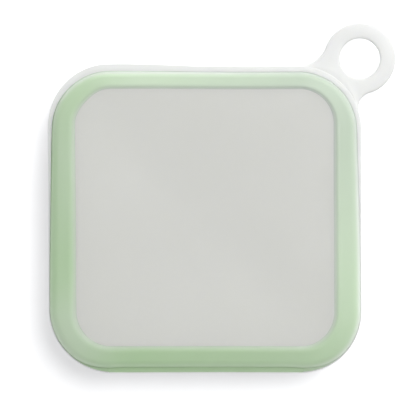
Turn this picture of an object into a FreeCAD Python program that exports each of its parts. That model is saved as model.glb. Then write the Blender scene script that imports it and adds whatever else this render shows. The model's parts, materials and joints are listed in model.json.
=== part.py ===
"""Flat silicone case for one sandwich: a soft tray and a framed lid on a living hinge.

The lower half is a thin-walled tray with a wide flange. A round-topped seal bead runs all
the way round on the flange, a low outer lip stands outside the lid, and one corner of the
flange carries a flat ring tab for a finger or a hook. The lid is a green frame round a
frosted window. A groove under the frame presses over the seal bead. A thin U-shaped web
along the front joins the two halves and is the hinge.

Frame: millimetres. The origin is the centre of the tray's flat underside, +Z is up, and the
case lies flat. The hinge is on the front, towards -Y. The ring tab is at the +X +Y corner.
"""

import FreeCAD
import Part

import math
import os
from collections import namedtuple

# A rounded rectangle that is symmetric about x = 0: its half width, its front (-Y) and
# back (+Y) sides, and the radius of its corners.
Outline = namedtuple("Outline", "half_x front back radius")

# ---- heights ---------------------------------------------------------------------------
flange_under = 24.0        # underside of the flange and of the ring tab
flange_top = 27.0          # parting plane: top of the flange, underside of the lid frame
lip_top = 28.5             # top of the lip outside the lid
bead_top = 30.5            # top of the seal bead
groove_top = 31.0          # roof of the groove over the bead
window_under = 33.0        # underside of the window panel
window_top = 34.4          # top of the window panel, sunk below the frame
case_top = 36.0            # top of the lid frame

# ---- plan outlines ---------------------------------------------------------------------
flange = Outline(half_x=77.5, front=-76.0, back=76.0, radius=31.0)
lid = Outline(half_x=76.0, front=-73.0, back=74.5, radius=29.5)
seal_line = Outline(half_x=70.0, front=-67.8, back=69.3, radius=24.0)
window = Outline(half_x=63.0, front=-61.9, back=64.0, radius=16.5)
cavity_mouth = Outline(half_x=63.2, front=-62.2, back=63.2, radius=20.0)
cavity_floor = Outline(half_x=59.6, front=-58.6, back=59.6, radius=17.5)

# ---- tray ------------------------------------------------------------------------------
wall = 1.8                 # thickness of the walls and of the floor
floor_fillet = 7.0         # inside radius where the walls meet the floor
flange_root_fillet = 2.0   # between the walls and the underside of the flange
mouth_fillet = 0.8         # top inside edge of the cavity
edge_fillet = 0.8          # outer edges of the flange and of the ring tab
lip_width = 1.2
lip_fillet = 0.5
bead_width = 3.2
bead_fillet = 1.55         # nearly half the bead's width, so that its top is round
joined_depth = 1.0         # how far the bead and the lip reach into the flange

# ---- ring tab --------------------------------------------------------------------------
ring_x = 77.0
ring_y = 80.0
ring_outer_radius = 17.7
ring_hole_radius = 10.0
ring_hole_fillet = 0.4
neck_back_radius = 15.0    # concave neck on the back side
neck_right_radius = 8.0    # concave neck on the right side

# ---- lid -------------------------------------------------------------------------------
frame_crown_radius = 5.0   # outer top edge of the frame
frame_foot_fillet = 0.6    # outer bottom edge of the frame
bevel_width = 4.0          # slope from the top of the frame down to the window
groove_clearance = 0.55    # on each side of the bead
window_hold = 2.5          # how far the window's edge is moulded into the frame

# ---- living hinge ----------------------------------------------------------------------
web_half_length = 46.0
web_thickness = 1.2
web_mid_radius = 1.4       # of the bend, at the middle of the web's thickness
web_leg = 0.9              # straight part of the web before the bend
notch_half_length = 48.0   # the flange and its lip stop short along the hinge
notch_corner = 1.5
hinge_sill = 0.9           # thin strip of the flange that runs on below the web

hinge_face = lid.front                       # the web joins the lid and the tray here
hinge_axis_y = hinge_face - web_leg - web_mid_radius
hinge_axis_z = flange_top


def grown(outline, distance):
    """The outline moved outwards by a distance, or inwards if it is negative."""
    return Outline(
        outline.half_x + distance,
        outline.front - distance,
        outline.back + distance,
        outline.radius + distance,
    )


def outline_wire(outline, z):
    """Closed wire of a rounded rectangle at height z: four sides and four corner arcs."""
    half_x, front, back, radius = outline
    middle = radius * (1 - math.cos(math.radians(45)))
    corners = [(1, -1), (1, 1), (-1, 1), (-1, -1)]
    edges = []
    ends = []
    for side_x, side_y in corners:
        tip_x = side_x * half_x
        tip_y = back if side_y > 0 else front
        on_x_side = FreeCAD.Vector(tip_x, tip_y - side_y * radius, z)
        on_y_side = FreeCAD.Vector(tip_x - side_x * radius, tip_y, z)
        on_arc = FreeCAD.Vector(tip_x - side_x * middle, tip_y - side_y * middle, z)
        if side_x * side_y < 0:
            start, end = on_y_side, on_x_side
        else:
            start, end = on_x_side, on_y_side
        edges.append(Part.Arc(start, on_arc, end).toShape())
        ends.append((start, end))
    for here, there in zip(ends, ends[1:] + ends[:1]):
        edges.append(Part.LineSegment(here[1], there[0]).toShape())
    return Part.Wire(Part.__sortEdges__(edges))


def prism(outline, low, high):
    """Straight solid with a rounded rectangular plan."""
    face = Part.Face(outline_wire(outline, low))
    return face.extrude(FreeCAD.Vector(0, 0, high - low))


def drafted(low_outline, low, high_outline, high):
    """Solid with straight sloping sides between two rounded rectangles."""
    wires = [outline_wire(low_outline, low), outline_wire(high_outline, high)]
    return Part.makeLoft(wires, True, True)


def level_edges(shape, z):
    """Edges that lie wholly at height z."""
    boxes = [(edge, edge.BoundBox) for edge in shape.Edges]
    return [edge for edge, box in boxes if abs(box.ZMin - z) < 0.01 and abs(box.ZMax - z) < 0.01]


def upright_edges(shape):
    """Vertical edges."""
    boxes = [(edge, edge.BoundBox) for edge in shape.Edges]
    return [edge for edge, box in boxes if box.XLength < 0.01 and box.YLength < 0.01]


def edges_inside(edges, outline):
    """Those edges that lie inside an outline, or on it."""
    reach = outline.half_x + 0.01
    found = []
    for edge in edges:
        box = edge.BoundBox
        inside_x = box.XMin > -reach and box.XMax < reach
        inside_y = box.YMin > outline.front - 0.01 and box.YMax < outline.back + 0.01
        if inside_x and inside_y:
            found.append(edge)
    return found


def hinge_gap(low, high):
    """Block in front of the hinge face, which clears the flange or the lip for the web."""
    depth = 10.0
    corner = FreeCAD.Vector(-notch_half_length, hinge_face - depth, low)
    return Part.makeBox(2 * notch_half_length, depth, high - low, corner)


def round_neck(plate, radius, towards_back):
    """Round the inner corner between the ring and the flange, on one side of the tab."""

    def is_neck(edge):
        box = edge.BoundBox
        beside_ring = math.hypot(box.XMin - ring_x, box.YMin - ring_y) < ring_outer_radius + 0.01
        on_back_side = box.XMin - ring_x < box.YMin - ring_y
        return beside_ring and on_back_side == towards_back

    neck = [edge for edge in upright_edges(plate) if is_neck(edge)]
    return plate.makeFillet(radius, neck)


def round_notch(plate):
    """Round the two inner corners of the notch that holds the hinge web."""

    def is_notch_corner(edge):
        box = edge.BoundBox
        return abs(box.YMin - hinge_face) < 0.01 and abs(abs(box.XMin) - notch_half_length) < 0.01

    corners = [edge for edge in upright_edges(plate) if is_notch_corner(edge)]
    return plate.makeFillet(notch_corner, corners)


def ring_hole(plate):
    """Cut the hole of the ring tab and round both its rims a little."""
    centre = FreeCAD.Vector(ring_x, ring_y, flange_under)
    plate = plate.cut(Part.makeCylinder(ring_hole_radius, flange_top - flange_under, centre))
    rims = []
    for edge in level_edges(plate, flange_under) + level_edges(plate, flange_top):
        if (edge.CenterOfMass - centre).Length < ring_hole_radius:
            rims.append(edge)
    return plate.makeFillet(ring_hole_fillet, rims)


def flange_plate():
    """Flange with the ring tab in one plate, its two necks rounded and its edges softened."""
    plate = prism(flange, flange_under, flange_top)
    ring_base = FreeCAD.Vector(ring_x, ring_y, flange_under)
    plate = plate.fuse(Part.makeCylinder(ring_outer_radius, flange_top - flange_under, ring_base))
    plate = plate.removeSplitter()
    plate = round_neck(plate, neck_back_radius, towards_back=True)
    plate = round_neck(plate, neck_right_radius, towards_back=False)
    plate = round_notch(plate.cut(hinge_gap(flange_under + hinge_sill, flange_top)))
    edges = level_edges(plate, flange_under) + level_edges(plate, flange_top)
    return ring_hole(plate.makeFillet(edge_fillet, edges))


def outer_lip():
    """Low lip along the edge of the flange, which stops at the hinge."""
    low = flange_top - joined_depth
    lip = prism(flange, low, lip_top).cut(prism(grown(flange, -lip_width), low, lip_top))
    lip = lip.makeFillet(lip_fillet, level_edges(lip, lip_top))
    return lip.cut(hinge_gap(low, lip_top))


def seal_bead():
    """Round-topped bead on the flange, which the groove of the lid presses over."""
    low = flange_top - joined_depth
    outside = grown(seal_line, bead_width / 2)
    inside = grown(seal_line, -bead_width / 2)
    bead = prism(outside, low, bead_top).cut(prism(inside, low, bead_top))
    return bead.makeFillet(bead_fillet, level_edges(bead, bead_top))


def tray_shell():
    """Drafted outside of the tray up to the middle of the flange, still solid."""
    top = flange_top - joined_depth
    outside = drafted(grown(cavity_floor, wall), 0.0, grown(cavity_mouth, wall), top)
    return outside.makeFillet(floor_fillet + wall, level_edges(outside, 0.0))


def cavity():
    """Space inside the tray, with the walls meeting the floor in a large radius."""
    space = drafted(cavity_floor, wall, cavity_mouth, flange_top)
    return space.makeFillet(floor_fillet, level_edges(space, wall))


def base_tray():
    """Tray, flange, ring tab, seal bead and outer lip, moulded in one piece."""
    tray = tray_shell().fuse(flange_plate())
    root = edges_inside(level_edges(tray, flange_under), grown(cavity_mouth, wall))
    tray = tray.makeFillet(flange_root_fillet, root)
    tray = tray.cut(cavity())
    mouth = edges_inside(level_edges(tray, flange_top), cavity_mouth)
    tray = tray.makeFillet(mouth_fillet, mouth)
    tray = tray.fuse([seal_bead(), outer_lip()])
    return tray.removeSplitter()


def lid_window():
    """Flat frosted panel whose edge is moulded into the frame."""
    return prism(grown(window, window_hold), window_under, window_top)


def lid_frame():
    """Green frame: crowned outside, sloping down to the window, with the seal groove below."""
    frame = prism(lid, flange_top, case_top)
    frame = frame.makeFillet(frame_crown_radius, level_edges(frame, case_top))
    frame = frame.makeFillet(frame_foot_fillet, level_edges(frame, flange_top))
    frame = frame.cut(drafted(window, window_top, grown(window, bevel_width), case_top))
    frame = frame.cut(prism(cavity_mouth, flange_top, window_under))
    groove_half = bead_width / 2 + groove_clearance
    groove = prism(grown(seal_line, groove_half), flange_top, groove_top)
    groove = groove.cut(prism(grown(seal_line, -groove_half), flange_top, groove_top))
    frame = frame.cut(groove)
    return frame.cut(lid_window())


def hinge_web():
    """U-shaped web: a straight leg from each half and a half-round bend between them."""
    bend_y = hinge_face - web_leg
    outer = web_mid_radius + web_thickness / 2
    inner = web_mid_radius - web_thickness / 2
    start_x = -web_half_length

    def point(y, height):
        return FreeCAD.Vector(start_x, y, hinge_axis_z + height)

    edges = [
        Part.LineSegment(point(hinge_face, outer), point(bend_y, outer)).toShape(),
        Part.Arc(point(bend_y, outer), point(bend_y - outer, 0), point(bend_y, -outer)).toShape(),
        Part.LineSegment(point(bend_y, -outer), point(hinge_face, -outer)).toShape(),
        Part.LineSegment(point(hinge_face, -outer), point(hinge_face, -inner)).toShape(),
        Part.LineSegment(point(hinge_face, -inner), point(bend_y, -inner)).toShape(),
        Part.Arc(point(bend_y, -inner), point(bend_y - inner, 0), point(bend_y, inner)).toShape(),
        Part.LineSegment(point(bend_y, inner), point(hinge_face, inner)).toShape(),
        Part.LineSegment(point(hinge_face, inner), point(hinge_face, outer)).toShape(),
    ]
    section = Part.Face(Part.Wire(edges))
    return section.extrude(FreeCAD.Vector(2 * web_half_length, 0, 0))


def main():
    os.makedirs("parts", exist_ok=True)
    nodes = {
        "base_tray": base_tray(),
        "lid_frame": lid_frame(),
        "lid_window": lid_window(),
        "hinge_web": hinge_web(),
    }
    for name, shape in nodes.items():
        print(name, "valid" if shape.isValid() else "BROKEN", round(shape.Volume), "mm3")
        shape.exportStep("parts/" + name + ".step")
    print("hinge axis at y", round(hinge_axis_y, 2), "z", hinge_axis_z)


main()
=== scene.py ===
"""Looks for the silicone sandwich case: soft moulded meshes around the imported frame.

Each piece is lofted from rings. A ring is one rounded rectangle round the case at its own
size and height, and every ring has its points in the same columns, so that neighbouring
rings join into clean quads. Rings share a point wherever they meet, which is how the ring
tab, the hinge notch and the ends of the lip grow out of the flange without a seam.
Lengths are in millimetres until a mesh is made.
"""

import json
import math
from collections import namedtuple
from functools import lru_cache

import bmesh
import bpy
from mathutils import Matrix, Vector, noise


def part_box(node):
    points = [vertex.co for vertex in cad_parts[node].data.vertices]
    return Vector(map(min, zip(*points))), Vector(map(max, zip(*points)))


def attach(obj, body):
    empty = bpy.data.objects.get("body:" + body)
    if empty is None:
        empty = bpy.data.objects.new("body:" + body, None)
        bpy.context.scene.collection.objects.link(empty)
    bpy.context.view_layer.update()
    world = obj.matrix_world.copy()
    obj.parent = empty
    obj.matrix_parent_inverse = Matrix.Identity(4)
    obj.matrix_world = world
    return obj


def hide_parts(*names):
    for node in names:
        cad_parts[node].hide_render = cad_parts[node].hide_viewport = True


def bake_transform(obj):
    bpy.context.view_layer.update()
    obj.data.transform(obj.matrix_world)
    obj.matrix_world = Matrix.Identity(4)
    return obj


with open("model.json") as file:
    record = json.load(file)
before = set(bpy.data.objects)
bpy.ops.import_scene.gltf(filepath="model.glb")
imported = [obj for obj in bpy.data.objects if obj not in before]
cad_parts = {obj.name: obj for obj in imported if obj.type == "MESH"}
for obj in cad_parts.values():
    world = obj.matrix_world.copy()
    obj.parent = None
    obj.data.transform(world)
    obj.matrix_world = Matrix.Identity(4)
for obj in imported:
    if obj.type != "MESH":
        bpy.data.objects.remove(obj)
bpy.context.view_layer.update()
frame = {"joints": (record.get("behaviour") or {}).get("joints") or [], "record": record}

MM = 0.001

# Half width, front (-Y) side, back (+Y) side and corner radius.
Outline = namedtuple("Outline", "half_x front back radius")

# ---- sizes read from the frame ---------------------------------------------------------
tray_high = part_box("base_tray")[1] / MM
frame_low, frame_high = (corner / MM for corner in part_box("lid_frame"))
panel_low, panel_high = (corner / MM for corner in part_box("lid_window"))
web_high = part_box("hinge_web")[1] / MM
mounts = {mount["name"]: mount for mount in frame["record"]["mounts"]}
hinge = frame["joints"][0]

ring_x, ring_y = (value / MM for value in mounts["ring_hole"]["pos_m"][:2])
ring_hole_radius = mounts["ring_hole"]["dims"]["r_mm"]
ring_outer_radius = tray_high.x - ring_x
axis_y, axis_z = (value / MM for value in hinge["pos_m"][1:])

flange_top = frame_low.z
case_top = frame_high.z
bead_top = tray_high.z
panel_top = panel_high.z
panel_under = panel_low.z
hinge_face = web_high.y

# ---- heights and outlines that the boxes don't give ------------------------------------
flange_under = 24.0
lip_top = 28.5
groove_top = 31.0
flange = Outline(77.5, -76.0, 76.0, 31.0)
lid = Outline(76.0, -73.0, 74.5, 29.5)
seal_line = Outline(70.0, -67.8, 69.3, 24.0)
window = Outline(63.0, -61.9, 64.0, 16.5)
cavity_mouth = Outline(63.2, -62.2, 63.2, 20.0)
cavity_floor = Outline(59.6, -58.6, 59.6, 17.5)
wall = 1.8
floor_fillet = 7.0
neck_back_radius = 15.0
neck_right_radius = 8.0
notch_half_length = 48.0
web_half_length = notch_half_length + 1.0      # its ends are moulded into the lip
hinge_sill = 0.9

# ---- softness of the moulding ----------------------------------------------------------
edge_round = 1.05          # outer edges of the flange and of the ring tab
lip_narrow = 0.6           # width of the lip along the front
lip_wide = 2.8             # width that it nears along the back
bead_half_width = 1.6
groove_half_width = 2.15
hold_depth = 2.5           # how far the window's edge runs into the frame
gap = 0.05                 # between faces that touch on the real case
panel_rim = 1.3            # how far the window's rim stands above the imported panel
panel_sag = 0.35           # how far the window's middle hangs below it
press = 0.03               # how far faces of the same half run into each other
sway = 0.35                # slow unevenness of the soft walls
sway_pitch = 0.016         # how fast it changes, per millimetre
skew = 0.5                 # how far the back left and front right corners are drawn out
tuck = 1.3                 # how far the window's back left corner is drawn in
tuck_middle = (-58.0, 58.0)
tuck_reach = 14.0
lip_bulge = 1.3            # the lip is pushed outwards near the back left corner
inner_share = 0.35         # share of that push at the lip's inner face
bulge_middle = (-44.0, 72.0)
bulge_size = (30.0, 22.0)
tab_crown = 0.12           # rise of the tab's upper face between its edges
mark_height = 0.75         # middle of the round moulding mark, above the underside
edge_thin = 0.3            # thinness of the tray's outer edges, from 0 to 1
soft_thin = 0.5            # thinness of the seal bead and of the window
painted_light_share = 0.46          # share of the pale colour on the frame where its painted light is 1
flank_share = 0.33         # share of the frame's width in its flank
slope_start = 0.78         # share at which the slope to the window starts

# ---- the columns shared by every ring --------------------------------------------------
# A column is (segment, share). Segments 0, 2, 4 and 6 are the front, right, back and left
# sides; 1, 3, 5 and 7 are the corners that follow them, anticlockwise from above.
SIDE_STEPS = 30
CORNER_STEPS = 24
TAB_STEPS = 72
NOTCH_SHARES = [0.006 * step for step in range(1, 12)]
BACK_RIGHT = 3             # the segment that carries the ring tab
SHARED = 0.004             # points nearer than this are one point

corner_centre = Vector((flange.half_x - flange.radius, flange.back - flange.radius))
ring_centre = Vector((ring_x, ring_y))


def find_right_neck():
    """Centre of the right neck's arc, which touches both the ring and the flange's corner."""
    across = ring_centre - corner_centre
    from_corner = flange.radius + neck_right_radius
    from_ring = ring_outer_radius + neck_right_radius
    along = (from_corner**2 - from_ring**2 + across.length_squared) / (2 * across.length)
    aside = math.sqrt(from_corner**2 - along**2)
    unit = across.normalized()
    return corner_centre + unit * along + Vector((unit.y, -unit.x)) * aside


def find_back_neck():
    """Centre of the back neck's arc, which touches both the ring and the flange's back."""
    y = flange.back + neck_back_radius
    reach = ring_outer_radius + neck_back_radius
    return Vector((ring_x - math.sqrt(reach**2 - (ring_y - y) ** 2), y))


def direction(start, end):
    """Angle of the line from one point to another."""
    return math.atan2(end.y - start.y, end.x - start.x)


right_neck = find_right_neck()
back_neck = find_back_neck()
tab_start = direction(corner_centre, right_neck) / (math.pi / 2)


def spread(count):
    """Even shares of a segment, without its far end."""
    return [step / count for step in range(count)]


def make_columns():
    """All columns in order, with more of them where the hinge notch and the tab need them."""
    near_end = [1 - share for share in NOTCH_SHARES]
    columns = []
    for segment in range(8):
        shares = spread(SIDE_STEPS if segment % 2 == 0 else CORNER_STEPS)
        if segment == BACK_RIGHT:
            before = [tab_start * share for share in spread(5)]
            shares = before + [tab_start + (1 - tab_start) * share for share in spread(TAB_STEPS)]
        if segment in (0, 1):
            shares = sorted(shares + NOTCH_SHARES)
        if segment in (0, 7):
            shares = sorted(shares + near_end)
        columns += [(segment, share) for share in shares]
    return columns


COLUMNS = make_columns()


def grown(outline, distance):
    """The outline moved outwards by a distance, or inwards if it is negative."""
    return Outline(
        outline.half_x + distance,
        outline.front - distance,
        outline.back + distance,
        outline.radius + distance,
    )


def mixed(a, b, share):
    """The outline a share of the way from a to b."""
    return Outline(*(x + (y - x) * share for x, y in zip(a, b)))


def circle(radius):
    """A round outline about the origin."""
    return Outline(radius, -radius, radius, radius)


def smooth(low, high, value):
    """0 below low, 1 above high and an even curve between them."""
    share = min(max((value - low) / (high - low), 0.0), 1.0)
    return share * share * (3 - 2 * share)


def near(x, y, middle, reach):
    """1 at a place, falling to 0 at a distance from it."""
    return 1 - smooth(0.0, reach, math.dist((x, y), middle))


def outline_point(outline, segment, share):
    """Point of an outline in one column."""
    half_x, front, back, radius = outline
    inner_x = half_x - radius
    low_y, high_y = front + radius, back - radius
    if segment % 2 == 1:
        centres = {1: (inner_x, low_y), 3: (inner_x, high_y), 5: (-inner_x, high_y), 7: (-inner_x, low_y)}
        angle = math.radians(-90 + 90 * ((segment - 1) // 2 + share))
        x, y = centres[segment]
        return x + radius * math.cos(angle), y + radius * math.sin(angle)
    starts = {0: (-inner_x, front), 2: (half_x, low_y), 4: (inner_x, back), 6: (-half_x, high_y)}
    ends = {0: (inner_x, front), 2: (half_x, high_y), 4: (-inner_x, back), 6: (-half_x, low_y)}
    x, y = Vector(starts[segment]).lerp(Vector(ends[segment]), share)
    return x, y


@lru_cache(maxsize=None)
def plan(outline):
    """Points of an outline in every column."""
    return [outline_point(outline, segment, share) for segment, share in COLUMNS]


def level(outline, z):
    """Ring of an outline at one height."""
    return [(x, y, z) for x, y in plan(outline)]


def tab_share(column):
    """How far along the tab's edge a column is, or None where there is no tab."""
    segment, share = COLUMNS[column]
    if segment != BACK_RIGHT or share <= tab_start:
        return None
    return (share - tab_start) / (1 - tab_start)


def tab_arcs():
    """The tab's edge as arcs: centre, radius, first and last angle, and side of the material."""
    back_end = direction(back_neck, Vector((corner_centre.x, flange.back)))
    ring_end = direction(ring_centre, back_neck)
    right_start = direction(right_neck, corner_centre) + 2 * math.pi
    return [
        (right_neck, neck_right_radius, right_start, direction(right_neck, ring_centre), -1),
        (ring_centre, ring_outer_radius, direction(ring_centre, right_neck), ring_end, 1),
        (back_neck, neck_back_radius, direction(back_neck, ring_centre), back_end, -1),
    ]


def tab_point(share, outwards):
    """Point of the tab's edge at a share of its length, moved outwards by a distance."""
    arcs = tab_arcs()
    lengths = [abs(end - start) * radius for _, radius, start, end, _ in arcs]
    left = share * sum(lengths)
    for (centre, radius, start, end, side), length in zip(arcs, lengths):
        if left <= length:
            break
        left -= length
    angle = start + (end - start) * left / length
    reach = radius + side * outwards
    return centre.x + reach * math.cos(angle), centre.y + reach * math.sin(angle)


def past_notch(x, y, before, after):
    """0 inside the hinge notch on the front and 1 away from it. The change starts at one
    distance before the notch's end and stops at another after it."""
    if y > 0:
        return 1.0
    return smooth(notch_half_length - before, notch_half_length + after, abs(x))


def notch(x, y):
    """1 inside the hinge notch on the front, 0 away from it."""
    return 1 - past_notch(x, y, 1.2, 0.4)


def tab_softness(column):
    """0 at both ends of the tab's edge, 1 over most of it."""
    share = tab_share(column)
    if share is None:
        return 0.0
    return smooth(0.0, 0.08, share) * (1 - smooth(0.92, 1.0, share))


class Skin:
    """Points and faces of one piece, with each point's pale share: thinness on the tray and window, painted
    light and shade on the frame and web.
    """

    def __init__(self):
        self.points = []
        self.thin_and_painted_light = []
        self.faces = []

    def ring(self, rows, before=None, thin_and_painted_light=0.0):
        """Add a ring and return its points' numbers. A point that doesn't move is shared.
        The pale share is one number, or a list with one for each point."""
        thins_and_painted_light = thin_and_painted_light if isinstance(thin_and_painted_light, list) else [thin_and_painted_light] * len(rows)
        numbers = []
        for column, (point, value) in enumerate(zip(rows, thins_and_painted_light)):
            if before and math.dist(point, self.points[before[column]]) < SHARED:
                numbers.append(before[column])
            else:
                numbers.append(self.add(point, value))
        return numbers

    def add(self, point, thin_and_painted_light=0.0):
        """Add one point and return its number."""
        self.points.append(tuple(point))
        self.thin_and_painted_light.append(thin_and_painted_light)
        return len(self.points) - 1

    def join(self, low, high):
        """Fill between two rings, with triangles where they come together."""
        for here in range(len(low)):
            there = (here + 1) % len(low)
            corners = list(dict.fromkeys([low[here], low[there], high[there], high[here]]))
            if len(corners) > 2:
                self.faces.append(corners)

    def loft(self, sections, start=None):
        """Join sections (rows, thin) in order, from an earlier ring if there is one."""
        rings = [start] if start else []
        for rows, thin_and_painted_light in sections:
            rings.append(self.ring(rows, rings[-1] if rings else None, thin_and_painted_light))
        for low, high in zip(rings, rings[1:]):
            self.join(low, high)
        return rings

    def cap(self, ring, z):
        """Close a round ring with a fan from its centre."""
        centre = self.add((0.0, 0.0, z))
        for here in range(len(ring)):
            self.faces.append([ring[here], ring[(here + 1) % len(ring)], centre])


def drawn_out(x, y, z):
    """Shift that skews the soft rim a little. It fades out at the ring tab and the hinge."""
    across, along = x / flange.half_x, y / flange.back
    share = min(z / flange_under, 1.0) * (1 - smooth(-0.2, 1.2, across + along))
    corner = smooth(web_half_length - 8.0, flange.half_x - 2.0, abs(x))
    return -skew * along * share, -0.7 * skew * across * share * corner


def unevenness(x, y, z):
    """Small slow shift of a point of soft silicone, alike for pieces that touch."""
    place = Vector((x, y, 0.0)) * sway_pitch
    high = z / case_top
    pull = noise.noise(place + Vector((3.1, 7.7, 0.0))) * sway
    lift = noise.noise(place * 1.6 + Vector((9.4, 1.3, 0.0))) * sway * 0.7
    reach = math.hypot(x, y) or 1.0
    skew_x, skew_y = drawn_out(x, y, z)
    drawn_in = tuck * high * near(x, y, tuck_middle, tuck_reach)
    diagonal = 0.7
    x_shift = pull * high * x / reach + skew_x + diagonal * drawn_in
    y_shift = pull * high * y / reach + skew_y - diagonal * drawn_in
    return x + x_shift, y + y_shift, z + lift * high


def make_piece(name, skin, material):
    """Turn a skin into a mesh object in metres, smooth and closed."""
    mesh = bpy.data.meshes.new(name)
    points = [[value * MM for value in unevenness(*point)] for point in skin.points]
    mesh.from_pydata(points, [], skin.faces)
    mesh.attributes.new("thin_and_painted_light", "FLOAT", "POINT").data.foreach_set("value", skin.thin_and_painted_light)
    shape = bmesh.new()
    shape.from_mesh(mesh)
    bmesh.ops.remove_doubles(shape, verts=shape.verts, dist=SHARED * MM)
    bmesh.ops.recalc_face_normals(shape, faces=shape.faces)
    shape.to_mesh(mesh)
    shape.free()
    mesh.shade_smooth()
    mesh.set_sharp_from_angle(angle=math.radians(45.0))
    mesh.materials.append(material)
    piece = bpy.data.objects.new(name, mesh)
    bpy.context.scene.collection.objects.link(piece)
    piece.modifiers.new("even_shading", "WEIGHTED_NORMAL").keep_sharp = True
    return piece


# ---- tray ------------------------------------------------------------------------------
def bulge(x, y):
    """Outward push of the lip and the flange near the back left corner."""
    across = (x - bulge_middle[0]) / bulge_size[0]
    along = (y - bulge_middle[1]) / bulge_size[1]
    return lip_bulge * (1 - smooth(0.0, 1.6, math.hypot(across, along)))


def pushed(rows, share_of_bulge=1.0):
    """Rows moved outwards from the middle by the bulge."""
    moved = []
    for x, y, z in rows:
        share = share_of_bulge * bulge(x, y) / math.hypot(x, y)
        moved.append((x * (1 + share), y * (1 + share), z))
    return moved


def flange_edge(outwards, z, notch_y=None):
    """Ring round the flange and its tab. Inside the hinge notch it is set back to notch_y."""
    rows = []
    for column, (x, y) in enumerate(plan(grown(flange, outwards))):
        share = tab_share(column)
        if share is not None:
            x, y = tab_point(share, outwards)
        if notch_y is not None:
            y += (notch_y - y) * notch(x, y)
        rows.append((x, y, z))
    return pushed(rows)


def soft_edge(turn):
    """Ring of the rounded upper edge of the tab and of the notch, turn from 0 to 90 degrees."""
    rows = []
    angle = math.radians(turn)
    for column, (x, y) in enumerate(plan(flange)):
        share = tab_share(column)
        soft = edge_round * max(tab_softness(column), notch(x, y))
        inwards = soft * (1 - math.cos(angle))
        if share is not None:
            x, y = tab_point(share, -inwards)
        y += (hinge_face + inwards - y) * notch(x, y)
        rows.append((x, y, flange_top - soft * (1 - math.sin(angle))))
    return pushed(rows)


def lip_width(y):
    """Width of the lip, which narrows from the back to the front."""
    return lip_narrow + (lip_wide - lip_narrow) * smooth(-1.0, 1.15, y / flange.back) ** 2


def lip_ring(inwards, height, from_inside=False):
    """Ring of the lip, which sinks into the flange at the hinge notch. Its distance inwards
    is taken from the lip's outer face, or back out from its inner face."""
    rows = []
    for column, (edge_x, edge_y) in enumerate(plan(flange)):
        reach = lip_width(edge_y) - inwards if from_inside else inwards
        x, y = outline_point(grown(flange, -reach), *COLUMNS[column])
        gone = notch(edge_x, edge_y)
        y += (hinge_face + edge_round * gone - y) * gone
        x += (edge_x - x) * gone
        rows.append((x, y, flange_top + height * past_notch(edge_x, edge_y, 0.2, 0.6)))
    return pushed(rows, inner_share if from_inside else 1.0)


def wall_arc(outline, z, radius, draft, steps):
    """Rings of the rounded edge between a flat bottom and a drafted wall, bottom first."""
    sweep = math.pi / 2 - draft
    flat = radius * math.tan(sweep / 2)
    rings = []
    for step in range(steps + 1):
        angle = sweep * step / steps
        inset = flat - radius * math.sin(angle)
        rings.append((level(grown(outline, -inset), z + radius * (1 - math.cos(angle))), 0.0))
    return rings


def wall_draft():
    """Lean of the tray's walls from the vertical."""
    return math.atan2(cavity_mouth.half_x - cavity_floor.half_x, flange_top - wall)


def wall_ring(z, outwards=0.0):
    """Outline of the tray's inner wall at a height, moved outwards by a distance."""
    share = (z - wall) / (flange_top - wall)
    return grown(mixed(cavity_floor, cavity_mouth, share), outwards)


def underside():
    """Rings from the middle of the underside to the flange: moulding mark, foot and wall."""
    foot_inset = 9.6
    foot = grown(cavity_floor, wall - foot_inset)
    recess = 0.35
    rings = [(circle(2.2), mark_height), (circle(2.9), mark_height - 0.05), (circle(3.3), recess)]
    for share in (0, 0.3, 0.65, 1):
        rings.append((mixed(circle(5.0), grown(foot, -3.2), share), recess))
    rings += [(grown(foot, -2.2), recess * 0.85), (grown(foot, -1.2), 0.06), (grown(foot, -0.6), 0.0)]
    sections = [(level(outline, z), 0.0) for outline, z in rings]
    sections += wall_arc(grown(cavity_floor, wall), 0.0, floor_fillet + wall, wall_draft(), 10)
    for z in (11.0, 14.0, 17.0, 20.0):
        sections.append((level(wall_ring(z, wall), z), 0.0))
    root = 2.2
    for turn in range(0, 91, 15):
        angle = math.radians(turn)
        z = flange_under - root + root * math.sin(angle)
        sections.append((level(wall_ring(z, wall + root * (1 - math.cos(angle))), z), 0.0))
    halfway = mixed(grown(cavity_mouth, wall + root), grown(flange, -edge_round), 0.5)
    sections.append((level(halfway, flange_under), 0.1))
    return sections


def flange_sides():
    """Rings up the outer edge of the flange and the tab, with a fine parting line. Above its
    sill, the hinge notch is set back."""
    rings = []
    for turn in (30, 60, 90):
        angle = math.radians(turn)
        inwards = edge_round * (1 - math.sin(angle))
        z = flange_under + min(edge_round * (1 - math.cos(angle)), hinge_sill)
        rings.append(flange_edge(-inwards, z))
    sill_crown = 0.16
    sill = flange_under + hinge_sill + sill_crown
    # The second of these is set back in the notch, and is one with the first everywhere else.
    rings += [flange_edge(0.0, sill), flange_edge(0.0, sill + SHARED / 2, hinge_face)]
    proud = 0.09
    for outwards, z in ((0.0, 25.35), (proud, 25.45), (proud, 25.55), (0.0, 25.65)):
        rings.append(flange_edge(outwards, z, hinge_face))
    rings += [soft_edge(turn) for turn in (0, 22, 45, 68, 90)]
    return [(rows, edge_thin) for rows in rings]


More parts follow.
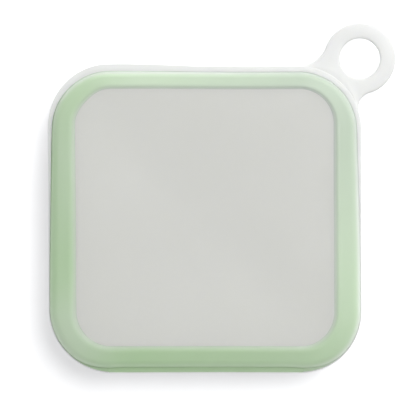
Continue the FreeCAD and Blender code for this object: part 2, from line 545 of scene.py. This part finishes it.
def lip_and_ledge():
    """Rings over the lip, across the ledge, over the seal bead and down to the cavity."""
    full = lip_top - flange_top
    outer_crown, inner_crown, root = 0.22, 0.12, 0.25
    rings = [lip_ring(0.0, full - outer_crown)]
    for turn in (30, 60, 90):
        angle = math.radians(turn)
        inwards = outer_crown * (1 - math.cos(angle))
        rings.append(lip_ring(inwards, full - outer_crown * (1 - math.sin(angle))))
    for turn in (90, 45, 0):
        angle = math.radians(turn)
        inwards = inner_crown * (1 - math.cos(angle))
        height = full - inner_crown * (1 - math.sin(angle))
        rings.append(lip_ring(inwards, height, from_inside=True))
    rings += [lip_ring(0.0, root, from_inside=True), lip_ring(-root, 0.0, from_inside=True)]
    sections = [(rows, edge_thin) for rows in rings]
    for outwards, z in arched(bead_half_width, flange_top, bead_top, 0.3, 0.09):
        sections.append((level(grown(seal_line, outwards), z), soft_thin))
    mouth = 1.0
    for turn in range(0, 91, 15):
        angle = math.radians(turn)
        inset = mouth * (1 - math.sin(angle))
        z = flange_top - mouth * (1 - math.cos(angle))
        sections.append((level(grown(cavity_mouth, inset), z), 0.2))
    return sections


def arched(half_width, low, top, foot, nick):
    """Distance outwards and height of each ring over a round-topped bead, or round a groove,
    from its outer to its inner side. Foot is the reach of the fillets at its two feet, and
    nick is how far the middle of a fillet stands from its corner."""
    shoulder = top - half_width
    side = [(half_width + foot, low), (half_width + nick, low + nick)]
    side += [(half_width, low + foot), (half_width, shoulder)]
    crown = []
    for turn in range(15, 180, 15):
        angle = math.radians(turn)
        crown.append((half_width * math.cos(angle), shoulder + half_width * math.sin(angle)))
    return side + crown + [(-outwards, z) for outwards, z in reversed(side)]


def cavity_rings():
    """Rings down the inside of the wall and over the floor to its middle."""
    sections = [(level(wall_ring(z), z), 0.0) for z in (22.0, 17.0, 12.5)]
    sections += reversed(wall_arc(cavity_floor, wall, floor_fillet, wall_draft(), 9))
    flat = grown(cavity_floor, -floor_fillet)
    for share in (0.12, 0.35, 0.6, 0.82, 1.0):
        sections.append((level(mixed(flat, circle(4.0), share), wall), 0.0))
    return sections


def ring_patch(skin, outer, inner, z, crown):
    """Face of the tab between the flange's edge, the tab's edge and the hole, which rises by
    its crown in between. Returns the hole's ring and the angles of its points, which go round
    from one end of the tab's root to the other."""
    columns = [column for column in range(len(COLUMNS)) if tab_share(column) is not None]
    ends = [columns[0] - 1, (columns[-1] + 1) % len(COLUMNS)]
    edge = [outer[ends[0]]] + [outer[column] for column in columns] + [outer[ends[1]]]
    root = [inner[column] for column in reversed(columns)]
    # Directions from the ring's middle that face the two ends of the tab's root.
    right_end_turn, back_end_turn = 236.0, 203.6 + 360.0
    start, end = math.radians(right_end_turn), math.radians(back_end_turn)
    angles = [start + (end - start) * step / (len(edge) - 1) for step in range(len(edge))]
    back = 2 * math.pi - (end - start)
    angles += [end + back * (step + 1) / (len(root) + 1) for step in range(len(root))]
    loop = edge + root
    rows = [loop]
    for share in (0.12, 0.3, 0.5, 0.7, 0.88, 1.0):
        row = []
        for number, angle in zip(loop, angles):
            outside = Vector(skin.points[number]).to_2d()
            reach = ring_hole_radius + edge_round
            inside = ring_centre + Vector((math.cos(angle), math.sin(angle))) * reach
            x, y = outside.lerp(inside, share)
            row.append(skin.add((x, y, z + crown * math.sin(math.pi * share)), edge_thin))
        rows.append(row)
    for low, high in zip(rows, rows[1:]):
        skin.join(low, high)
    return rows[-1], angles


def ring_hole(skin, low_ring, high_ring, angles):
    """Rounded wall of the tab's hole, which joins its lower and upper faces."""
    rings = [low_ring]
    middle = (flange_under + flange_top) / 2
    straight = (flange_top - flange_under) / 2 - edge_round
    turn_step = 15
    for turn in range(-75, 90, turn_step):
        lean = math.radians(turn)
        reach = ring_hole_radius + edge_round * (1 - math.cos(lean))
        past_middle = math.copysign(straight, turn) * min(1.0, abs(turn) / turn_step)
        z = middle + past_middle + edge_round * math.sin(lean)
        rows = [(ring_x + reach * math.cos(a), ring_y + reach * math.sin(a), z) for a in angles]
        rings.append(skin.ring(rows, None, edge_thin))
    rings.append(high_ring)
    for low, high in zip(rings, rings[1:]):
        skin.join(low, high)


def build_tray(material):
    """Tray, flange, ring tab, seal bead and lip in one closed skin."""
    skin = Skin()
    below = skin.loft(underside())
    skin.cap(below[0], mark_height)
    under_inner = skin.ring(pushed(level(grown(flange, -edge_round), flange_under)), None, 0.2)
    skin.join(below[-1], under_inner)
    under_outer = skin.ring(flange_edge(-edge_round, flange_under), under_inner, edge_thin)
    low_hole, angles = ring_patch(skin, under_outer, under_inner, flange_under, 0.0)
    sides = skin.loft(flange_sides(), under_outer)
    top_inner = skin.ring(lip_ring(0.0, 0.0), sides[-1], 0.4)
    high_hole, angles = ring_patch(skin, sides[-1], top_inner, flange_top, tab_crown)
    ring_hole(skin, low_hole, high_hole, angles)
    upper = skin.loft(lip_and_ledge(), top_inner)
    inside = skin.loft(cavity_rings(), upper[-1])
    skin.cap(inside[-1], wall)
    return make_piece("soft_tray", skin, material)


# ---- lid -------------------------------------------------------------------------------
def brim_ring(inset, z):
    """Ring of the frame's slender brim, which reaches out to the tray's lip, less an inset."""
    rows = []
    overlap = 0.02
    for (x, y), (edge_x, edge_y) in zip(plan(lid), plan(flange)):
        out = Vector((edge_x - x, edge_y - y))
        reach = (out.length - lip_width(edge_y) + overlap) * past_notch(x, y, 0.4, 0.6)
        step = out.normalized() * (reach - inset)
        rows.append((x + step.x, y + step.y, z))
    return pushed(rows, inner_share)


def flank_inset(x, y):
    """Distance from the flange's edge to the foot of the frame's flank, wider at the hinge."""
    narrow, wide = lip_width(y) + 0.35, 2.9
    if y > flange.front + flange.radius:
        return narrow
    return narrow + (wide - narrow) * (1 - past_notch(x, y, 8.0, 22.0))


def frame_ring(share, z):
    """Ring at a share of the frame's width, from the foot of its flank to the window."""
    rows = []
    for (x, y), (edge_x, edge_y), inner in zip(plan(lid), plan(flange), plan(window)):
        out = Vector((edge_x - x, edge_y - y))
        foot = Vector((edge_x, edge_y)) - out.normalized() * flank_inset(edge_x, edge_y)
        place = foot.lerp(Vector(inner), share)
        rows.append((place.x, place.y, z))
    return rows


def soft_ramp(low, high, value):
    """0 below low, 1 above high and between them a straight ramp with short eased ends."""
    share = min(max((value - low) / (high - low), 0.0), 1.0)
    ease = 0.22
    if share < ease:
        return share * share / (2 * ease * (1 - ease))
    if share > 1 - ease:
        return 1 - (1 - share) ** 2 / (2 * ease * (1 - ease))
    return (share - ease / 2) / (1 - ease)


def frame_height(share):
    """Height of the frame's top: a round flank, a gentle rise and the slope to the window."""
    spring, rise, rise_start = flange_top + 1.8, 1.4, 0.18
    bow, fullness = 2.2, 0.68
    u = 1 - min(share / flank_share, 1.0)
    height = spring + (case_top - rise - spring) * (1 - u**bow) ** fullness
    height += rise * soft_ramp(rise_start, slope_start, share)
    drop = case_top - panel_top - panel_rim + press
    return height - drop * soft_ramp(slope_start, 1.0, share)


def painted_light_paleness(x, y):
    """How pale the frame is painted, which is painted light: least along the front, most along the back and
    right sides, which face the lamps. It is paler at the front left corner and deeper green at the back left
    one than beside them."""
    even = smooth(-1.1, 0.5, 0.35 * x / flange.half_x + 0.65 * y / flange.back)
    front_left = near(x, y, (-66.0, -57.0), 36.0)
    back_left = near(x, y, (-62.0, 60.0), 34.0)
    return even + 0.85 * front_left - 0.4 * back_left


def flank_painted_light_and_shade(x, y, share):
    """Pale share of the outer flank, painted light and shade. Its foot is palest along the back and the
    right side, a painted highlight where they face the lamps, less so where they meet. All of the flank is
    deep green in the middle of the left side, a painted shade on the side away from the lamps."""
    foot = 1 - smooth(0.0, 0.2, share)
    along, across = y / flange.back, x / flange.half_x
    back = smooth(0.5, 0.95, along) * (1 - 0.5 * smooth(0.1, 0.7, across))
    right = smooth(0.5, 0.95, across) * (1 - 0.5 * smooth(0.1, 0.7, along))
    whole = 1 - smooth(0.05, flank_share, share)
    left = 1 - smooth(0.35, 0.8, abs(along)) if x < 0 else 0.0
    return painted_light_share * painted_light_paleness(x, y) * (1 - 0.9 * whole * left) + 0.45 * foot * max(back, right)


def slope_fade_and_painted_light(x, y, share):
    """Pale share from the crest to the window: it fades to the pale colour at the window's edge, and is
    palest there along the back and right, painted light that lifts the shade on those slopes; nearer the
    crest it is the frame's painted light.
    """
    fade = smooth(0.8, 1.0, share)
    edge = 0.65 + 0.35 * smooth(-0.6, 0.6, x / flange.half_x + y / flange.back)
    return fade * edge + (1 - fade) * painted_light_share * painted_light_paleness(x, y)


def frame_top():
    """Rings over the frame, from its brim to just past the window's edge."""
    brim = [(0.5, gap), (0.1, 0.15), (0.0, 0.4), (0.0, 1.35), (0.05, 1.47), (0.2, 1.55)]
    outside = [(brim_ring(inset, flange_top + height), 0.0) for inset, height in brim]
    outside.append((frame_ring(0.0, flange_top + 1.62), 0.0))
    for turn in range(5, 90, 8):
        share = flank_share * (1 - math.cos(math.radians(turn)))
        outside.append((frame_ring(share, frame_height(share)), share))
    sections = [(rows, [flank_painted_light_and_shade(x, y, share) for x, y, _ in rows]) for rows, share in outside]
    for step in range(1, 35):
        share = flank_share + 0.02 * step
        rows = frame_ring(share, frame_height(share))
        sections.append((rows, [slope_fade_and_painted_light(x, y, share) for x, y, _ in rows]))
    return sections


def frame_inside():
    """Rings from the window's edge down through its slot and the inner wall to the bottom."""
    seat = grown(window, hold_depth)
    over = panel_top + panel_rim - press
    rings = [(grown(window, 0.4), over), (grown(seat, -0.3), over)]
    rings += [(seat, over - 0.3), (seat, panel_under + 0.25)]
    rings += [(grown(seat, -0.3), panel_under - gap), (grown(cavity_mouth, 0.5), panel_under - gap)]
    rings += [(grown(cavity_mouth, 0.12), panel_under - 0.2), (cavity_mouth, panel_under - 0.6)]
    rings += [(cavity_mouth, 29.5), (cavity_mouth, flange_top + 0.7)]
    rings += [(grown(cavity_mouth, 0.2), flange_top + 0.25), (grown(cavity_mouth, 0.7), flange_top + gap)]
    return [(level(outline, z), 0.0) for outline, z in rings]


def groove_rings():
    """Rings of the seal groove in the underside, from its inner to its outer edge."""
    rings = arched(groove_half_width, flange_top + gap, groove_top, 0.3, 0.08)
    return [(level(grown(seal_line, outwards), z), 0.0) for outwards, z in reversed(rings)]


def build_frame(material):
    """Green frame as one closed loop of rings."""
    skin = Skin()
    rings = skin.loft(frame_top() + frame_inside() + groove_rings())
    skin.join(rings[-1], rings[0])
    return make_piece("soft_lid_frame", skin, material)


def build_window(material):
    """Frosted panel, dished on both faces, with its edge inside the frame's slot."""
    skin = Skin()
    edge = grown(window, hold_depth - gap)
    rim_top = panel_top + panel_rim
    edge_bevel = 0.3

    def dish(outline, z, depth):
        share = 1 - outline.half_x / edge.half_x
        return level(outline, z - depth * smooth(0.05, 0.9, share))

    shares = (1.0, 0.85, 0.7, 0.55, 0.4, 0.28, 0.18, 0.1, 0.05)
    outlines = [mixed(edge, circle(4.0), share) for share in shares]
    rows = [dish(outline, panel_under, panel_sag) for outline in outlines]
    rows += [level(grown(edge, -edge_bevel), panel_under), level(edge, panel_under + edge_bevel)]
    rows += [level(edge, rim_top - edge_bevel), level(grown(edge, -edge_bevel), rim_top)]
    rows += [dish(outline, rim_top, panel_sag + panel_rim) for outline in reversed(outlines)]
    rings = skin.loft([(row, soft_thin) for row in rows])
    skin.cap(rings[0], panel_under - panel_sag)
    skin.cap(rings[-1], panel_top - panel_sag)
    return make_piece("soft_window", skin, material)


# ---- living hinge ----------------------------------------------------------------------
web_mid_radius = 1.3
web_leg = 1.05
web_sunk = 0.35            # how far both legs run into their halves
web_half_thickness = 0.42
web_flare = 0.2            # added to that at its roots
web_end_round = 0.5        # rounding of its two ends


def web_line(share):
    """Middle line of the web: point (y, z) and outward direction at a share of its length."""
    bend_y = hinge_face - web_leg
    leg = web_leg + web_sunk
    bend = math.pi * web_mid_radius
    along = share * (2 * leg + bend)
    if along < leg:
        return (hinge_face + web_sunk - along, axis_z - web_mid_radius), (0.0, -1.0)
    if along > leg + bend:
        return (bend_y + along - leg - bend, axis_z + web_mid_radius), (0.0, 1.0)
    angle = -math.pi / 2 - (along - leg) / web_mid_radius
    out = math.cos(angle), math.sin(angle)
    return (bend_y + web_mid_radius * out[0], axis_z + web_mid_radius * out[1]), out


def build_web(material):
    """Thin U-shaped web between the halves, thicker at its roots and rounded at its ends."""
    skin = Skin()
    line_steps = 22
    ends = [web_end_round * (1 - math.cos(math.radians(turn))) for turn in (12, 30, 50, 70, 90)]
    left = [-web_half_length + end for end in ends]
    middle = [2.0 * step for step in range(-23, 24)]
    rings = []
    for x in left + middle + [-x for x in reversed(left)]:
        inset = web_half_length - abs(x)
        round_off = math.sqrt(max(0.0, 1 - (1 - min(inset / web_end_round, 1.0)) ** 2))
        sides = [[], []]
        for step in range(line_steps + 1):
            share = step / line_steps
            (y, z), (out_y, out_z) = web_line(share)
            flare = web_flare * (1 - smooth(0.0, 0.25, min(share, 1 - share)))
            half = (web_half_thickness + flare) * round_off
            sides[0].append((x, y + out_y * half, z + out_z * half))
            sides[1].append((x, y - out_y * half, z - out_z * half))
        # The web's pale share is painted light, the frame's painted paleness along the front.
        thin_and_painted_light = painted_light_share * painted_light_paleness(x, flange.front)
        rings.append(skin.ring(sides[0] + sides[1][::-1], None, thin_and_painted_light))
    for low, high in zip(rings, rings[1:]):
        skin.join(low, high)
    for ring in (rings[0], rings[-1]):
        facing = ring[::-1]
        for step in range(line_steps):
            skin.faces.append([ring[step], ring[step + 1], facing[step + 1], facing[step]])
    return make_piece("soft_hinge_web", skin, material)


# ---- materials -------------------------------------------------------------------------
class Graph:
    """A material's node tree, with short calls for the nodes that the silicones use."""

    def __init__(self, name):
        self.material = bpy.data.materials.new(name)
        self.material.use_nodes = True
        self.tree = self.material.node_tree
        self.shader = self.tree.nodes["Principled BSDF"]
        self.place = self.node("ShaderNodeTexCoord").outputs["Object"]

    def node(self, kind, **inputs):
        """New node with some of its inputs set or linked."""
        made = self.tree.nodes.new(kind)
        for name, value in inputs.items():
            self.feed(made.inputs[name.replace("_", " ")], value)
        return made

    def feed(self, socket, value):
        """Link an output to a socket, or set the socket's value."""
        if isinstance(value, bpy.types.NodeSocket):
            self.tree.links.new(value, socket)
        else:
            socket.default_value = value

    def noise(self, scale, detail=2.0):
        """Noise from 0 to 1, with features about 1 / scale metres wide."""
        return self.node("ShaderNodeTexNoise", Vector=self.place, Scale=scale, Detail=detail).outputs["Fac"]

    def remap(self, value, low, high, to_low, to_high):
        """A value moved from one range to another and held inside it."""
        made = self.node("ShaderNodeMapRange", Value=value)
        for name, number in (("From Min", low), ("From Max", high), ("To Min", to_low), ("To Max", to_high)):
            made.inputs[name].default_value = number
        return made.outputs["Result"]

    def times(self, first, second):
        """Product of two values."""
        made = self.node("ShaderNodeMath")
        made.operation = "MULTIPLY"
        self.feed(made.inputs[0], first)
        self.feed(made.inputs[1], second)
        return made.outputs["Value"]

    def blend_colour(self, share, first, second):
        """Colour a share of the way from the first to the second."""
        made = self.node("ShaderNodeMix")
        made.data_type = "RGBA"
        sockets = {socket.identifier: socket for socket in made.inputs}
        self.feed(sockets["Factor_Float"], share)
        self.feed(sockets["A_Color"], first)
        self.feed(sockets["B_Color"], second)
        return next(out for out in made.outputs if out.identifier == "Result_Color")

    def corner(self, low, high):
        """0 to 1 towards the back right corner, as x + y goes from low to high in metres."""
        along = self.node("ShaderNodeSeparateXYZ", Vector=self.place)
        both = self.node("ShaderNodeMath")
        self.feed(both.inputs[0], along.outputs["X"])
        self.feed(both.inputs[1], along.outputs["Y"])
        return self.remap(both.outputs["Value"], low, high, 0.0, 1.0)

    def lint(self):
        """Sparse dust specks, which silicone always carries: 1 on a speck, 0 elsewhere."""
        cells = self.node("ShaderNodeTexVoronoi", Vector=self.place, Scale=210.0)
        speck = self.remap(cells.outputs["Distance"], 0.02, 0.045, 1.0, 0.0)
        colour = self.node("ShaderNodeSeparateColor", Color=cells.outputs["Color"]).outputs["Red"]
        return self.times(speck, self.remap(colour, 0.86, 0.9, 0.0, 1.0))


def rgba(red, green, blue):
    """Opaque linear colour."""
    return red, green, blue, 1.0


def silicone(name, colour, deep, pale, fade, transmission, roughness, subsurface, lit_corner_grey=0.0):
    """Satin moulded silicone: slow mottling, paler by each point's pale share, fine grain and lint. The pale
    share is thinness on the tray and window and painted light and shade on the frame and web. The last
    argument is how much greyer it is at the back right corner, which tones down the painted light there."""
    graph = Graph(name)
    shader = graph.shader
    thin_and_painted_light = graph.node("ShaderNodeAttribute")
    thin_and_painted_light.attribute_name = "thin_and_painted_light"
    mottle = graph.remap(graph.noise(26.0, 3.0), 0.35, 0.65, 0.0, 0.35)
    body = graph.blend_colour(mottle, colour, deep)
    # Paler by the pale share: thinness on the tray and window, painted light and shade on the frame and web.
    paler = graph.times(thin_and_painted_light.outputs["Fac"], fade)
    body = graph.blend_colour(paler, body, pale)
    grey_lilac, dust = rgba(0.3, 0.28, 0.36), rgba(0.93, 0.93, 0.9)
    # Painted tone: greyer towards the back right corner, which tones down the painted light there.
    if lit_corner_grey:
        greyer = graph.times(graph.corner(0.046, 0.13), lit_corner_grey)
        body = graph.blend_colour(greyer, body, grey_lilac)
    dusty = graph.blend_colour(graph.times(graph.lint(), 0.5), body, dust)
    graph.feed(shader.inputs["Base Color"], dusty)

    cloud = graph.noise(150.0, 4.0)
    graph.feed(shader.inputs["Roughness"], graph.remap(cloud, 0.3, 0.7, roughness - 0.05, roughness + 0.07))
    peel = graph.node("ShaderNodeBump", Height=graph.noise(420.0, 3.0), Strength=0.35, Distance=0.00006)
    grain = graph.node("ShaderNodeBump", Height=graph.noise(2600.0, 2.0), Strength=0.4, Distance=0.00002)
    graph.feed(grain.inputs["Normal"], peel.outputs["Normal"])
    graph.feed(shader.inputs["Normal"], grain.outputs["Normal"])

    shader.inputs["IOR"].default_value = 1.41
    shader.inputs["Transmission Weight"].default_value = transmission
    shader.inputs["Subsurface Weight"].default_value = subsurface
    shader.inputs["Subsurface Radius"].default_value = (1.0, 1.0, 0.9)
    shader.inputs["Subsurface Scale"].default_value = 0.003
    shader.inputs["Sheen Weight"].default_value = 0.06
    shader.inputs["Sheen Roughness"].default_value = 0.5
    return graph.material


def clear_silicone():
    """Milky white of the tray, nearly clear where it has little thickness."""
    return silicone(
        "clear_silicone", rgba(0.835, 0.837, 0.833), rgba(0.815, 0.817, 0.81), rgba(0.75, 0.765, 0.745),
        fade=0.6, transmission=0.2, roughness=0.42, subsurface=0.5,
    )


def green_silicone():
    """Sage green of the frame and the web."""
    # Its pale colour is blended in by the pale share, which on the frame and web is painted light and shade.
    return silicone(
        "green_silicone", rgba(0.41, 0.575, 0.345), rgba(0.385, 0.555, 0.32), rgba(0.645, 0.69, 0.63),
        fade=1.0, transmission=0.0, roughness=0.42, subsurface=0.3, lit_corner_grey=0.22,
    )


def frosted_silicone():
    """Cloudy grey-white of the window."""
    return silicone(
        "frosted_silicone", rgba(0.81, 0.815, 0.775), rgba(0.79, 0.795, 0.75), rgba(0.82, 0.825, 0.79),
        fade=0.6, transmission=0.35, roughness=0.5, subsurface=0.2,
    )


# ---- studio ----------------------------------------------------------------------------
def glowing_floor():
    """Large white floor that glows as painted light: its glow lifts the shadows beside the case, and it
    glows a little more far away, where the lights don't reach.
    """
    mesh = bpy.data.meshes.new("floor")
    half = 3.0
    corners = [(-half, -half, 0), (half, -half, 0), (half, half, 0), (-half, half, 0)]
    mesh.from_pydata(corners, [], [(0, 1, 2, 3)])
    graph = Graph("glowing_floor")
    shader = graph.shader
    shader.inputs["Base Color"].default_value = rgba(0.88, 0.88, 0.89)
    shader.inputs["Roughness"].default_value = 0.9
    shader.inputs["Specular IOR Level"].default_value = 0.2
    # Painted light: the floor's own glow, which lifts the shadows beside the case and is stronger far away.
    shader.inputs["Emission Color"].default_value = rgba(1.0, 1.0, 1.0)
    reach = graph.node("ShaderNodeVectorMath")
    reach.operation = "LENGTH"
    graph.feed(reach.inputs[0], graph.place)
    graph.feed(shader.inputs["Emission Strength"], graph.remap(reach.outputs["Value"], 0.4, 1.8, 0.30, 0.62))
    mesh.materials.append(graph.material)
    floor = bpy.data.objects.new("floor", mesh)
    floor.location.z = -0.0002
    bpy.context.scene.collection.objects.link(floor)


def soft_box(name, size, energy, zenith, azimuth, reach):
    """Round soft light that points at the case from a direction given in degrees."""
    light = bpy.data.lights.new(name, "AREA")
    light.shape = "DISK"
    light.size = size
    light.energy = energy
    lamp = bpy.data.objects.new(name, light)
    zenith, azimuth = math.radians(zenith), math.radians(azimuth)
    flat = reach * math.sin(zenith)
    lamp.location = (flat * math.cos(azimuth), flat * math.sin(azimuth), reach * math.cos(zenith))
    lamp.rotation_euler = (-lamp.location).to_track_quat("-Z", "Y").to_euler()
    bpy.context.scene.collection.objects.link(lamp)


def soft_sky():
    """White light from all round, brighter near the horizon, as from a studio's walls."""
    world = bpy.data.worlds.new("soft_sky")
    world.use_nodes = True
    tree = world.node_tree
    sky = tree.nodes["Background"]
    sky.inputs["Color"].default_value = rgba(0.985, 0.99, 1.0)
    direction_in = tree.nodes.new("ShaderNodeTexCoord").outputs["Generated"]
    split = tree.nodes.new("ShaderNodeSeparateXYZ")
    fade = tree.nodes.new("ShaderNodeMapRange")
    fade.interpolation_type = "SMOOTHSTEP"
    for name, value in (("From Min", 0.14), ("From Max", 0.47), ("To Min", 0.97), ("To Max", 0.37)):
        fade.inputs[name].default_value = value
    tree.links.new(direction_in, split.inputs["Vector"])
    tree.links.new(split.outputs["Z"], fade.inputs["Value"])
    tree.links.new(fade.outputs["Result"], sky.inputs["Strength"])
    bpy.context.scene.world = world


def overhead_camera():
    """Camera straight above the case, a little off its middle."""
    camera = bpy.data.cameras.new("camera")
    height = 1.35
    seen_width = 208.3 * MM    # at the height of the flange
    camera.sensor_width = 36.0
    camera.lens = camera.sensor_width * (height - flange_top * MM) / seen_width
    camera.clip_start = 0.05
    eye = bpy.data.objects.new("camera", camera)
    eye.location = (2.6 * MM, 4.8 * MM, height)
    bpy.context.scene.collection.objects.link(eye)
    bpy.context.scene.camera = eye


# ---- putting it together ---------------------------------------------------------------
def main():
    """The four pieces, three of them on their bodies, then the floor, the lights and the camera."""
    green = green_silicone()
    tray = build_tray(clear_silicone())
    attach(tray, "base")
    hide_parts("base_tray")

    lid_frame = build_frame(green)
    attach(lid_frame, "lid")
    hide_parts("lid_frame")

    panel = build_window(frosted_silicone())
    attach(panel, "lid")
    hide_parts("lid_window")

    web = build_web(green)
    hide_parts("hinge_web")
    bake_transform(web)

    glowing_floor()
    soft_box("key", size=0.8, energy=16.5, zenith=18.0, azimuth=46.0, reach=1.9)
    soft_box("side", size=1.3, energy=13.5, zenith=60.0, azimuth=56.0, reach=1.7)
    soft_sky()
    overhead_camera()
    bpy.context.scene.view_settings.view_transform = "Standard"


main()
